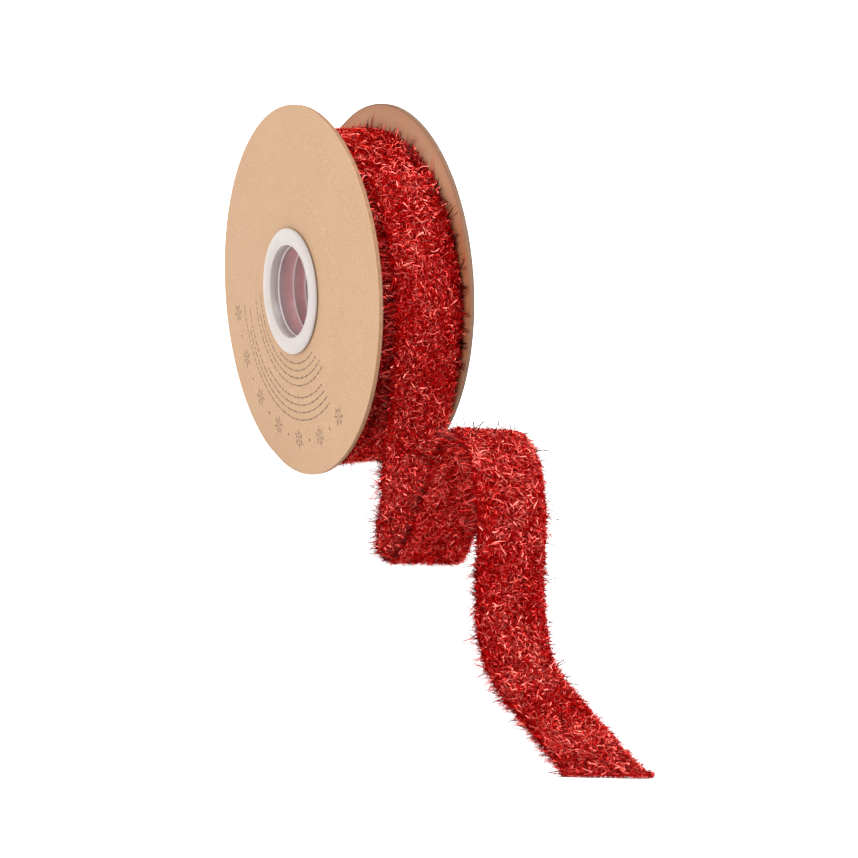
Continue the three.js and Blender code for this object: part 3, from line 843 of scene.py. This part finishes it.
def bright_bends(s):
    """High over the top of the wave and in the bend at its foot, where loose strands catch the light."""
    out = np.zeros_like(s)
    for station, half, high in ((0.3, 10.0, 0.5), (7.8, 8.0, 0.65), (15.6, 16.0, 1.85), (21.2, 9.0, 1.4), (24.0, 24.0, 2.1)):
        out += high * np.exp(-(((s - np.interp(station, U, ARC)) / half) ** 2))
    return out


def shaded(s):
    """High in the fold between the hanging part and the wave, where the two light each other red."""
    return np.clip(np.minimum(s - 78.0, np.interp(14.0, U, ARC) - s) / 14.0, 0, 1)


def low_down(s):
    """1 where the last stretch runs down to the ground and lies on it, 0 before."""
    return np.clip((s - np.interp(19.0, U, ARC)) / 12.0, 0, 1)


def hanging(s):
    """True along the part that hangs from the roll down to its foot."""
    return (s > 62.0) & (s < np.interp(9.0, U, ARC))


def tail_cloth():
    rows = 230
    s = np.linspace(0.0, LENGTH, rows)
    mid, run, wide, up = at_arc(s)
    across = np.linspace(-1, 1, 9)
    top, low = [], []
    for a in across:
        wave = 0.25 * np.sin(s / 5.3 + 2.1 * a) * abs(a) + 0.15 * np.sin(s / 2.9 + 4 * a)
        c = mid + wide * (a * CLOTH_HALF) + run * (skew(s, a) - (CUT_BACK + 0.6) * (s > LENGTH - 0.5))[:, None] + up * wave[:, None]
        top.append(c + up * 0.3)
        low.append(c - up * 0.3)
    ring = np.stack(top + low[::-1], 1)
    n = ring.shape[1]
    verts = ring.reshape(-1, 3)
    verts[:, 2] = np.maximum(verts[:, 2], 0.5)
    faces = grid_faces(rows, n, wrap_cols=True)
    k = len(across)
    caps = []
    for row, flip in ((0, False), (rows - 1, True)):
        for j in range(k - 1):
            q = [row * n + j, row * n + j + 1, row * n + n - 2 - j, row * n + n - 1 - j]
            caps.append(q[::-1] if flip else q)
    faces = np.vstack([faces[:, ::-1], np.array(caps)])
    o = new_object("tail_cloth", verts, faces, loose)
    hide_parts("ribbon_tail")
    return o


tail_cloth_piece = tail_cloth()


END_MID, END_RUN, END_WIDE = (v[0] for v in at_arc(np.array([LENGTH]))[:3])


def within_cut(pos):
    """The ribbon is cut straight: nothing reaches past the cut."""
    past = (pos - END_MID) @ END_RUN + CUT_BACK
    past -= CUT_SKEW * (np.clip((pos[..., 0] - END_MID[0]) / (CLOTH_HALF * END_WIDE[0]), -1, 1) + 1) / 2
    past -= (pos[..., 0] - END_MID[0]) / END_WIDE[0] * (END_WIDE @ END_RUN)
    near = np.abs(pos[..., 1] - END_MID[1]) < 25
    return pos - END_RUN * (np.clip(past, 0, None) * near)[..., None]


def tail_pile(name, lo, hi, count, inner=1.0):
    """Pile of both faces between the distances lo and hi; inner is the share on the face towards the roll."""
    groups = []
    keep = inside_cards if lo == 0.0 else within_cut
    for face, share in ((1, 1.0), (-1, inner)):
        for top, part in ((False, 0.62), (True, 0.50)):      # a darker bed, and lighter strands over it
            n = int(count * part * share / (1.0 + inner))
            s = rng.uniform(lo, hi, n)
            a = rng.uniform(-1, 1, n)
            mid, run, wide, up = at_arc(s)
            nrm = up * face
            level = 0.3 + 0.9 * rng.beta(1.3, 1.6, n) if not top else 0.9 + 0.9 * rng.beta(1.5, 1.5, n)
            level *= 1.0 - 0.4 * np.clip((s - LENGTH + 6) / 6, 0, 1)
            root = mid + wide * (a * (CLOTH_HALF + 0.3) + splay(s, a))[:, None] + run * skew(s, a)[:, None] + nrm * (level - 0.5 * np.clip(np.abs(a) - 0.9, 0, 1) / 0.1)[:, None]
            head = turned_in(lean_field(s, a * 11, 11 + face, 6.0) + rng.normal(0, 1.4, n), a)
            if top:
                # painted highlight and painted light: the top strands are lighter in patches, round the bends and in
                # the fold
                lay(groups, root, nrm, run, wide, 1.7, 3.0, keep=keep, taper=0.35, length=0.8 + 1.9 * rng.beta(1.2, 1.8, n), width=rng.uniform(0.15, 0.27, n), heading=head, curl=rng.normal(0, 1.1, n),
                    rise=rng.uniform(0.15, 1.1, n), settle=rng.normal(-0.05, 0.3, n), roll=rng.normal(0, 0.6, n), twist=rng.normal(0, 0.6, n),
                    tint=top_tint(n, patches(s, a * 11, 37 + face, 24.0) + bright_bends(s) - 0.4 + 0.35 * shaded(s)))
            else:
                # painted light: the bed is lighter along the hanging part, in the fold, round the bends and at the cut
                # end
                lay(groups, root, nrm, run, wide, 2.4, 9.0, keep=keep, taper=0.4, length=rng.uniform(1.0, 2.8, n), width=rng.uniform(0.2, 0.36, n), heading=head, curl=rng.normal(0, 1.0, n),
                    rise=rng.uniform(0.4, 1.3, n), settle=rng.normal(0.05, 0.36, n), roll=rng.normal(0, 0.8, n), twist=rng.normal(0, 0.6, n), tint=pick_tint(n, 0.0, 0.32) + 0.14 * np.clip((s - 62) / 14, 0, 1) * np.clip((195 - s) / 20, 0, 1) + 0.13 * shaded(s) + 0.10 * bright_bends(s) + 0.17 * np.exp(-(((s - LENGTH) / 12.0) ** 2)))
    # longer light strands that lie loose on the outer face, most of them round the bends; their light coral tints are
    # painted highlights
    n = int((hi - lo) * 2.2)
    s = rng.uniform(lo, hi, n)
    s = s[rng.random(n) < 0.3 + 0.7 * np.clip(bright_bends(s), 0, 1)]
    n = len(s)
    mid, run, wide, up = at_arc(s)
    root = mid + wide * rng.uniform(-9.5, 9.5, n)[:, None] + up * rng.uniform(1.6, 2.3, n)[:, None]
    groups.append(strands(root, up, run, wide, segs=4, taper=0.3, length=rng.uniform(2.6, 4.8, n), width=rng.uniform(0.2, 0.32, n), heading=rng.uniform(0, 6.28, n),
                          curl=rng.normal(0, 0.7, n), rise=rng.uniform(-0.1, 0.5, n), settle=rng.normal(-0.1, 0.2, n), roll=rng.normal(0, 0.35, n), twist=rng.normal(0, 0.4, n),
                          tint=rng.uniform(0.8, 0.945, n)))
    # where the loose end starts, its pile and that of the turn behind it run together
    if lo == 0.0:
        for n, low, high, tints in ((2200, 1.6, 4.0, pick_tint(2200, 0.0, 0.5)), (1300, 3.6, 5.0, top_tint(1300))):
            deg = rng.uniform(58.0, 63.5, n)
            x = rng.uniform(WRAP_LOW, WRAP_HIGH - 0.5, n) + wrap_drift(deg)
            nrm, t1, t2 = wheel_frame(deg)
            lay(groups, on_wheel(x, wound_radius(62.0) + rng.uniform(low, high, n), deg), nrm, t1, t2, 1.7, 9.0, keep=inside_cards, taper=0.4, length=rng.uniform(1.2, 3.0, n),
                width=rng.uniform(0.18, 0.32, n), heading=rng.uniform(0, 6.28, n), curl=rng.normal(0, 1.5, n), rise=rng.uniform(0.2, 0.9, n), settle=rng.normal(-0.1, 0.3, n),
                roll=rng.normal(0, 0.7, n), twist=rng.normal(0, 0.7, n), tint=tints)
        # tufts that run up along the far card
        n_tuft = 58
        t_s = rng.uniform(1.0, 68.0, n_tuft)
        t_up = 2.2 + 5.0 * rng.beta(1.1, 1.5, n_tuft)
        t_run = rng.normal(0, 1.8, n_tuft)
        k = rng.integers(1, 5, n_tuft)
        who = np.repeat(np.arange(n_tuft), k)
        m = len(who)
        mid, run, wide, up = at_arc(np.clip(t_s[who] + rng.normal(0, 0.5, m), 0.5, 70.0))
        share = rng.uniform(0.5, 1.0, m)
        root = mid + wide * (CLOTH_HALF + splay(t_s[who], 1.0) - rng.uniform(0.0, 1.6, m))[:, None] + up * 1.0
        tip = root + up * (0.8 + t_up[who] * share)[:, None] + wide * (rng.uniform(0.1, 1.6, n_tuft)[who] * share)[:, None] + run * (t_run[who] * share + rng.normal(0, 0.3, m))[:, None]
        groups.append(spikes(root, tip, rng.normal(0, 0.5, (m, 3)), rng.uniform(0.28, 0.44, m), np.where(rng.random(m) < 0.45, rng.uniform(0.4, 0.86, m), rng.uniform(0.955, 0.999, m)), segs=3, keep=keep, point=0.5))
    # the cut end, its strands mostly in the light coral tints of painted highlight
    if hi >= LENGTH:
        n = 1700
        a = rng.uniform(-1, 1, n)
        mid, run, wide, up = at_arc(np.full(n, LENGTH - 0.4 - CUT_BACK) - rng.uniform(0, 0.9, n))
        root = mid + wide * (a * (CLOTH_HALF + 0.3) + splay(np.full(n, LENGTH), a))[:, None] + run * skew(np.full(n, LENGTH), a)[:, None] + up * rng.uniform(-0.4, 0.9, n)[:, None]
        lay(groups, root, run, wide, up, 1.8, 9.0, keep=within_cut, taper=0.4, length=rng.uniform(0.6, 1.5, n), width=rng.uniform(0.18, 0.32, n), heading=rng.uniform(0, 6.28, n), curl=rng.normal(0, 0.8, n),
            rise=rng.uniform(0.5, 1.5, n), settle=rng.uniform(0.2, 1.3, n), roll=rng.normal(0, 0.8, n), twist=rng.normal(0, 0.6, n), tint=np.where(rng.random(n) < 0.3, pick_tint(n, 0.2, 0.55), top_tint(n, 1.2)))
    # short ends along both edges
    n = int(count * 0.04)
    s = rng.uniform(lo, hi, n)
    mid, run, wide, up = at_arc(s)
    side = np.where(rng.random(n) < 0.5, 1, -1)
    away = wide * side[:, None]
    root = mid + away * (CLOTH_HALF - rng.uniform(-0.3, 0.7, n))[:, None] + wide * splay(s, side)[:, None] + up * rng.normal(0, 0.7, n)[:, None]
    lean = np.abs(rng.normal(0, 0.55, n))
    lay(groups, root, away, run, up, 2.4, 9.0, keep=keep, taper=0.7, length=rng.uniform(0.6, 1.7, n), width=rng.uniform(0.14, 0.26, n), heading=rng.uniform(0, 6.28, n),
        curl=rng.normal(0, 0.5, n), rise=1.5 - lean, settle=1.3 - lean, roll=rng.uniform(0, 3.14, n), twist=rng.normal(0, 0.4, n), tint=pick_tint(n, 0.0, 0.8))
    # tufts that run out to points, more of them along the near edge, and single long strands
    for side, per_mm, reach in ((-1, 0.95, (1.6, 6.4)), (1, 0.36, (1.2, 4.4))):
        n_tuft = int((hi - lo) * per_mm)
        t_s = rng.uniform(lo, hi, n_tuft)
        t_reach = rng.uniform(*reach, n_tuft)
        t_run = rng.normal(0.4, 2.1, n_tuft)
        t_up = rng.normal(0.3, 1.1, n_tuft) + 0.5 * low_down(t_s)
        t_reach += 1.3 * low_down(t_s) * (side < 0) * (rng.random(n_tuft) < 0.5)
        k = rng.integers(2, 7, n_tuft)
        who = np.repeat(np.arange(n_tuft), k)
        m = len(who)
        mid, run, wide, up = at_arc(np.clip(t_s[who] + rng.normal(0, 0.6, m), lo, hi))
        root = mid + wide * (side * (CLOTH_HALF - rng.uniform(0.0, 1.4, m)) + splay(t_s[who], side))[:, None] + up * rng.normal(0, 0.7, m)[:, None]
        mid, run, wide, up = at_arc(t_s[who])
        share = rng.uniform(0.5, 1.0, m)
        tip = mid + wide * (side * (CLOTH_HALF + t_reach[who] * share + 0.4) + splay(t_s[who], side))[:, None] + run * (t_run[who] * share + rng.normal(0, 0.35, m))[:, None] + up * (t_up[who] * share + rng.normal(0, 0.3, m))[:, None]
        before_fold = np.exp(-(((t_s[who] - np.interp(16.6, U, ARC)) / 15.0) ** 2)) * (side < 0)
        # painted light: near the fold and where the end lies low, the near-edge tufts get slightly lighter tints
        tint = np.where(rng.random(m) < 0.55 + 0.38 * low_down(t_s[who]) + 0.4 * before_fold + 0.4 * (side < 0) * (t_s[who] < 66) + (0.38 if side > 0 else 0.18) * hanging(t_s[who]), rng.uniform(0.3, 0.88, m) + 0.06 * np.maximum(before_fold, low_down(t_s[who])), rng.uniform(0.955, 0.999, m))
        groups.append(spikes(root, tip, rng.normal(0, 0.16, (m, 3)), rng.uniform(0.15, 0.28, m), tint, keep=keep))
        n = int((hi - lo) * (1.5 if side < 0 else 0.6))
        s = rng.uniform(lo, hi, n)
        mid, run, wide, up = at_arc(s)
        reach_1 = 1.6 + rng.beta(1.2, 1.6, n) * (4.8 if side < 0 else 4.2)
        root = mid + wide * (side * (CLOTH_HALF - 0.5) + splay(s, side))[:, None] + up * rng.normal(0, 1.0, n)[:, None]
        tip = root + wide * (side * reach_1)[:, None] + run * rng.normal(0.3, 2.0, n)[:, None] + up * rng.normal(0, 1.2, n)[:, None]
        before_fold = np.exp(-(((s - np.interp(16.6, U, ARC)) / 15.0) ** 2)) * (side < 0)
        tint = np.where(rng.random(n) < 0.78 * low_down(s) + 0.9 * before_fold + 0.85 * (side < 0) * (s < 66) + (0.9 if side > 0 else 0.35) * hanging(s), rng.uniform(0.4, 0.9, n), rng.uniform(0.955, 0.999, n))
        groups.append(spikes(root, tip, rng.normal(0, 0.3, (n, 3)), rng.uniform(0.15, 0.24, n), tint, point=0.6, keep=keep))
    # stray dark hairs, long and thin: off the edges, and off the outer face
    n = int((hi - lo) * 1.1)
    s = rng.uniform(lo, hi, n)
    s = s[(rng.random(n) < 0.35) | ~hanging(s)]
    n = len(s)
    mid, run, wide, up = at_arc(s)
    which = rng.random(n)
    side = np.where(((which < 0.3) & ~hanging(s)) | (s < 66), 1.0, -1.0)[:, None]
    off = (which > 0.9)[:, None]
    far = rng.uniform(2.2, 5.2, n)[:, None] + 1.4 * off
    root = mid + np.where(off, wide * rng.uniform(-10, 10, n)[:, None] + up * 1.2, wide * (side * (CLOTH_HALF - 0.5) + splay(s, side[:, 0])[:, None]))
    tip = root + np.where(off, up * far * 0.85 + run * rng.normal(0, 1.5, n)[:, None] + wide * rng.normal(0, 1.5, n)[:, None],
                          wide * side * far + run * rng.normal(0.3, 2.0, n)[:, None] + up * rng.normal(0.3, 1.2, n)[:, None])
    groups.append(spikes(root, tip, rng.normal(0, 0.22, (n, 3)), rng.uniform(0.22, 0.32, n), rng.uniform(0.955, 0.999, n), segs=3, point=0.5, keep=keep))
    # a few that stand clear of the top of the wave and of its far edge
    for station, half, n, on_top in ((14.9, 13.0, 34, True), (18.6, 52.0, 52, False)):
        s = np.interp(station, U, ARC) + rng.uniform(-half, half, n)
        s = s[(s > lo) & (s < hi)]
        n = len(s)
        mid, run, wide, up = at_arc(s)
        far = rng.uniform(2.8, 5.4, n)[:, None]
        if on_top:
            root = mid + wide * rng.uniform(-9.5, 10.0, n)[:, None] + up * 1.4
            tip = root + up * (far + 0.8) + run * rng.normal(0, 1.8, n)[:, None] + wide * rng.normal(0.6, 2.6, n)[:, None]
        else:
            root = mid + wide * (CLOTH_HALF - 0.3) + up * rng.uniform(-0.5, 1.2, n)[:, None]
            tip = root + wide * far + run * rng.normal(0, 1.6, n)[:, None] + up * rng.normal(0.9, 1.3, n)[:, None]
        groups.append(spikes(root, tip, rng.normal(0, 0.25, (n, 3)), rng.uniform(0.26, 0.36, n), rng.uniform(0.955, 0.999, n), segs=3, point=0.45))
    # single strands that stand off both faces
    n = int((hi - lo) * 5)
    s = rng.uniform(lo, hi, n)
    mid, run, wide, up = at_arc(s)
    face = np.where(rng.random(n) < 1 / (1 + inner), 1.0, -1.0)[:, None]
    root = mid + wide * rng.uniform(-10.5, 10.5, n)[:, None] + up * face * 0.9
    tip = root + up * face * np.minimum(1.0 + rng.exponential(0.8, n), 4.0)[:, None] + run * rng.normal(0, 1.2, n)[:, None] + wide * rng.normal(0, 1.2, n)[:, None]
    groups.append(spikes(root, tip, rng.normal(0, 0.25, (n, 3)), rng.uniform(0.12, 0.2, n), rng.uniform(0.3, 0.93, n)))
    return pile_object(name, groups, tinsel)


on_the_roll = 62.0
parts = [
    tail_pile("tail_pile_top", 0.0, on_the_roll, 23000, inner=0.02),
    tail_pile("tail_pile_fold", on_the_roll, on_the_roll + 98, 47000, inner=0.5),
    tail_pile("tail_pile_wave", on_the_roll + 98, on_the_roll + 196, 54000, inner=0.7),
    tail_pile("tail_pile_end", on_the_roll + 196, LENGTH, 39000, inner=0.22),
]
counts = {o.name: sum(len(f.vertices) - 2 for f in o.data.polygons) if len(o.data.polygons) < 60000 else 2 * len(o.data.polygons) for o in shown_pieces() if o.type == "MESH" and not o.hide_render}
print("LOOSE_END_MM", round(LENGTH, 1), "TRIANGLES", counts, sum(counts.values()))

# ------------------------------------------------------------------ floor
floor_mat = Nodes("floor_pale")
floor_mat.set(Base_Color=(0.5, 0.5, 0.5, 1), Roughness=0.8, Emission_Color=(1, 1, 1, 1), Emission_Strength=0.98)
bpy.ops.mesh.primitive_plane_add(size=6, location=(0, 0, -0.0002))
floor = bpy.context.object
floor.name = "floor"
floor.data.materials.append(floor_mat.mat)
